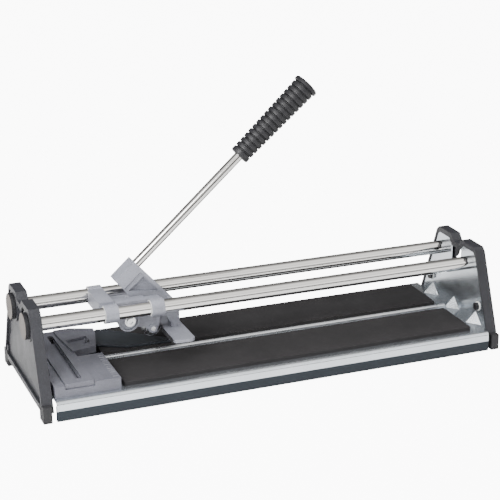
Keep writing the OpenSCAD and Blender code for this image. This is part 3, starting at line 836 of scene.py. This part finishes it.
@dataclass
class Lever(SubAssembly):
    """The lever: casting, rod, grip, axle and the wing's rubber.

    Attributes:
        ribs: Number of ribs on the grip.
        collar_mm: Plain length at the grip's lower end.
        flare_mm: Length of the head at its upper end.
        lip_mm: Size of the bevels at the rod's ends.
        foot, rib, neck, head, nose: Runs of the grip's outline, as (along, inward) in mm.
    """

    body: Body = Body.LEVER
    ribs: int = 15
    collar_mm: float = 6.0
    flare_mm: float = 7.0
    lip_mm: float = 0.5
    foot: ClassVar[Stops] = ((0.0, 1.5), (0.5, 0.5), (1.5, 0.0))
    rib: ClassVar[Stops] = (
        (-0.35, 0.25), (0.0, 0.8), (0.25, 1.9), (1.15, 1.9), (1.4, 0.8), (1.75, 0.25), (2.5, 0.0),
    )
    neck: ClassVar[Stops] = ((0.0, 0.3), (0.4, 1.9), (1.3, 1.9))
    head: ClassVar[Stops] = ((1.9, 0.7), (2.6, 0.0))
    nose: ClassVar[Stops] = ((-2.2, 0.0), (-1.0, 0.5), (-0.3, 1.6), (0.0, 3.0))

    def axis(self) -> tuple[Vector, Vector, float]:
        """The rod's start, direction and length, from its box.

        Returns:
            Start point, unit direction and length.
        """
        low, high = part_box("lever_rod")
        diameter = high.y - low.y
        # A round rod that leans by an angle fills a box of (length * cos + diameter * sin) by
        # (length * sin + diameter * cos); both are solved for the angle and the length.
        wide, tall = high.x - low.x, high.z - low.z
        angle = math.radians(42.0)
        length = 0.0
        for _ in range(60):
            length = (wide - diameter * math.sin(angle)) / math.cos(angle)
            angle = math.asin(min(1.0, (tall - diameter * math.cos(angle)) / length))
        direction = Vector((math.cos(angle), 0.0, math.sin(angle)))
        middle = (low + high) / 2
        return middle - direction * (length / 2), direction, length

    def build(self) -> None:
        """Makes every piece of the lever."""
        self.soften("lever_casting", CASTING, 0.6, 3)
        start, direction, length = self.axis()
        low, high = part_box("lever_rod")
        radius = (high.y - low.y) / 2
        lip = self.lip_mm * MM
        profile = [
            (0.0, 0.0), (0.0, radius - lip), (lip, radius), (length - lip, radius),
            (length, radius - lip), (length, 0.0),
        ]
        self.turn("lever_rod_chromed", "lever_rod", profile, start, direction, CHROME, 128)
        self.grip(start, direction, radius)
        self.soften("wheel_axle", ZINC, 0.5)
        self.soften("wheel_nut", ZINC, 0.3)
        self.soften("wing_pad", RUBBER, 0.2)
        dress("rod_set_screw", BLACK_STEEL)

    def grip(self, start: Vector, direction: Vector, rod_radius: float) -> None:
        """The ribbed rubber grip.

        Args:
            start: A point on the rod's axis.
            direction: The rod's direction.
            rod_radius: The rod's radius.
        """
        corners = [v.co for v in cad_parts["grip"].data.vertices]
        along = [(c - start).dot(direction) for c in corners]
        first, last = min(along), max(along)
        reach = max(((c - start) - direction * a).length for c, a in zip(corners, along))
        total = last - first
        collar, flare = self.collar_mm * MM, self.flare_mm * MM
        pitch = (total - collar - flare) / self.ribs
        bottom, top = reach * 0.764, reach * 0.93
        profile = [(0.0, rod_radius + 0.05 * MM), *self.run(0.0, bottom, self.foot)]
        for rib in range(self.ribs):
            radius = bottom + (top - bottom) * (rib + 0.5) / self.ribs
            here = collar + rib * pitch
            profile += [*self.run(here, radius, self.rib), (here + pitch - 1.1 * MM, radius)]
        end = total - flare
        profile += self.run(end, top, self.neck) + self.run(end, reach, self.head)
        profile += [*self.run(total, reach, self.nose), (total, 0.0)]
        self.turn("grip_ribbed", "grip", profile, start + direction * first, direction, GRIP, 96)

    @staticmethod
    def run(along: float, radius: float, stops: Stops) -> Profile:
        """Part of the grip's outline.

        Args:
            along: Where it starts on the axis.
            radius: The radius that it goes inward from.
            stops: (along, inward) pairs in mm.

        Returns:
            (distance along the axis, radius) pairs, in metres.
        """
        return [(along + ahead * MM, radius - inward * MM) for ahead, inward in stops]


@dataclass
class Wheel(SubAssembly):
    """The scoring wheel."""

    body: Body = Body.WHEEL

    def build(self) -> None:
        """Makes the wheel."""
        self.soften("scoring_wheel", CARBIDE, 0.1)


# ---------------------------------------------------------------------- studio


@dataclass(frozen=True)
class Lamp:
    """A soft box that faces the object.

    Attributes:
        name: The lamp's name.
        place: Where it stands.
        size: Its two sides, in metres.
        watts: Its power.
        glossy: Whether reflections show it.
    """

    name: str
    place: tuple[float, float, float]
    size: tuple[float, float]
    watts: float
    glossy: bool

    def build(self, target: Vector) -> None:
        """Places the lamp.

        Args:
            target: The point it faces.
        """
        data = bpy.data.lights.new(self.name, "AREA")
        data.shape = "RECTANGLE"
        data.size, data.size_y = self.size
        data.energy = self.watts
        lamp = bpy.data.objects.new(self.name, data)
        bpy.context.scene.collection.objects.link(lamp)
        lamp.location = self.place
        lamp.rotation_euler = (Vector(self.place) - target).to_track_quat("Z", "Y").to_euler()
        lamp.visible_glossy = self.glossy
        lamp.visible_camera = False


@dataclass
class Studio:
    """Camera, floor and lights.

    Attributes:
        azimuth_deg: Where the camera stands, turned from the front; a minus is to the left.
        elevation_deg: How high it stands.
        distance: Its distance from the target, in metres.
        target: The point it looks at.
        lens_mm: Focal length.
        sensor_mm: Width of the sensor.
        sky_strength: Strength of the room's light.
        floor_half: Half the floor's side, in metres.
        floor_glow: Brightness of the floor as the camera sees it.
        glow_share: Share of that glow in what the camera sees.
        front_sky: The room in front, as (height, brightness) stops.
        back_sky: The room behind.
        tint: Colour of the room's light.
    """

    azimuth_deg: float = -21.737
    elevation_deg: float = 19.450
    distance: float = 1.6302
    target: tuple[float, float, float] = (-0.00475, 0.0, 0.1239)
    lens_mm: float = 108.9
    sensor_mm: float = 36.0
    sky_strength: float = 0.85
    floor_half: float = 15.0
    floor_glow: float = 14.0
    glow_share: float = 0.7
    front_sky: Stops = (
        (0.0, 0.02), (0.24, 0.02), (0.31, 1.7), (0.92, 2.2), (1.0, 1.0),
    )
    back_sky: Stops = (
        (0.0, 0.10), (0.12, 0.12), (0.45, 0.22), (0.80, 0.34), (0.93, 0.6), (1.0, 1.0),
    )
    tint: RGB = (1.0, 0.985, 0.965)

    def camera(self) -> None:
        """Places the camera."""
        data = bpy.data.cameras.new("camera")
        data.lens = self.lens_mm
        data.sensor_width = self.sensor_mm
        data.clip_start = 0.05
        data.clip_end = 100.0
        camera = bpy.data.objects.new("camera", data)
        bpy.context.scene.collection.objects.link(camera)
        azimuth, elevation = math.radians(self.azimuth_deg), math.radians(self.elevation_deg)
        back = Vector((
            math.sin(azimuth) * math.cos(elevation),
            -math.cos(azimuth) * math.cos(elevation),
            math.sin(elevation),
        ))
        camera.location = Vector(self.target) + back * self.distance
        camera.rotation_euler = back.to_track_quat("Z", "Y").to_euler()
        bpy.context.scene.camera = camera

    def floor(self) -> None:
        """A wide pale floor under the rubber feet."""
        bm = bmesh.new()
        bmesh.ops.create_grid(bm, x_segments=1, y_segments=1, size=self.floor_half)
        bmesh.ops.translate(bm, verts=bm.verts, vec=(0.0, 0.0, CAD_BOX[0][2]))
        mesh = bpy.data.meshes.new("floor")
        bm.to_mesh(mesh)
        bm.free()
        floor = bpy.data.objects.new("floor", mesh)
        bpy.context.scene.collection.objects.link(floor)
        graph = Graph("floor_paper")
        fibre = graph.noise(graph.coords(), 900.0, 2.0)
        paper = graph.node("ShaderNodeBsdfPrincipled", None, {
            "Base Color": graph.mix(fibre, (0.90, 0.90, 0.90, 1.0), (0.93, 0.93, 0.93, 1.0)),
            "Roughness": 0.9,
        })
        glow = graph.node("ShaderNodeEmission", None, {"Strength": self.floor_glow})
        seen = graph.out(graph.node("ShaderNodeLightPath"), "Is Camera Ray") * self.glow_share
        layers = {0: seen, 1: graph.out(paper), 2: graph.out(glow)}
        both = graph.node("ShaderNodeMixShader", None, layers)
        graph.node("ShaderNodeOutputMaterial", None, {"Surface": graph.out(both)})
        floor.data.materials.append(graph.material)

    def sky(self) -> None:
        """A soft room: dark low in front, white above that and overhead, and grey behind."""
        world = bpy.data.worlds.new("studio")
        bpy.context.scene.world = world
        world.use_nodes = True
        tree = world.node_tree
        tree.nodes.clear()
        where = tree.nodes.new("ShaderNodeTexCoord")
        split = tree.nodes.new("ShaderNodeSeparateXYZ")
        tree.links.new(where.outputs["Generated"], split.inputs[0])
        halves = []
        for stops in (self.front_sky, self.back_sky):
            ramp = tree.nodes.new("ShaderNodeValToRGB")
            tree.links.new(split.outputs["Z"], ramp.inputs[0])
            elements = ramp.color_ramp.elements
            while len(elements) < len(stops):
                elements.new(0.5)
            for element, (position, grey) in zip(elements, stops):
                element.position = position
                element.color = (*(grey * part for part in self.tint), 1.0)
            halves.append(ramp)
        share = tree.nodes.new("ShaderNodeMapRange")
        share.inputs["From Min"].default_value = -0.15
        share.inputs["From Max"].default_value = 0.25
        tree.links.new(split.outputs["Y"], share.inputs["Value"])
        mix = tree.nodes.new("ShaderNodeMix")
        mix.data_type = "RGBA"
        tree.links.new(share.outputs[0], mix.inputs[0])
        tree.links.new(halves[0].outputs[0], mix.inputs[6])
        tree.links.new(halves[1].outputs[0], mix.inputs[7])
        light = tree.nodes.new("ShaderNodeBackground")
        light.inputs["Strength"].default_value = self.sky_strength
        out = tree.nodes.new("ShaderNodeOutputWorld")
        tree.links.new(mix.outputs[2], light.inputs[0])
        tree.links.new(light.outputs[0], out.inputs[0])

    def build(self) -> None:
        """Makes the whole studio."""
        self.camera()
        self.floor()
        self.sky()
        for lamp in LAMPS:
            lamp.build(Vector(self.target))


LAMPS = (
    Lamp("key", (-0.98, -0.60, 0.72), (0.7, 0.7), 28.0, True),
    Lamp("fill", (0.9, -2.0, 0.8), (1.5, 1.0), 4.0, True),
    Lamp("top", (0.1, 0.4, 2.2), (2.2, 1.4), 48.0, False),
)


def main() -> None:
    """Builds the studio and every sub-assembly."""
    Studio().build()
    kinds = (Tray, EndCaps, GuideTubes, Fence, Guide, SwingArm, Carriage, Lever, Wheel)
    for part in (kind() for kind in kinds):
        part.build()
        log.info("%s: %d new pieces", type(part).__name__, len(part.made))


if __name__ == "__main__":
    main()
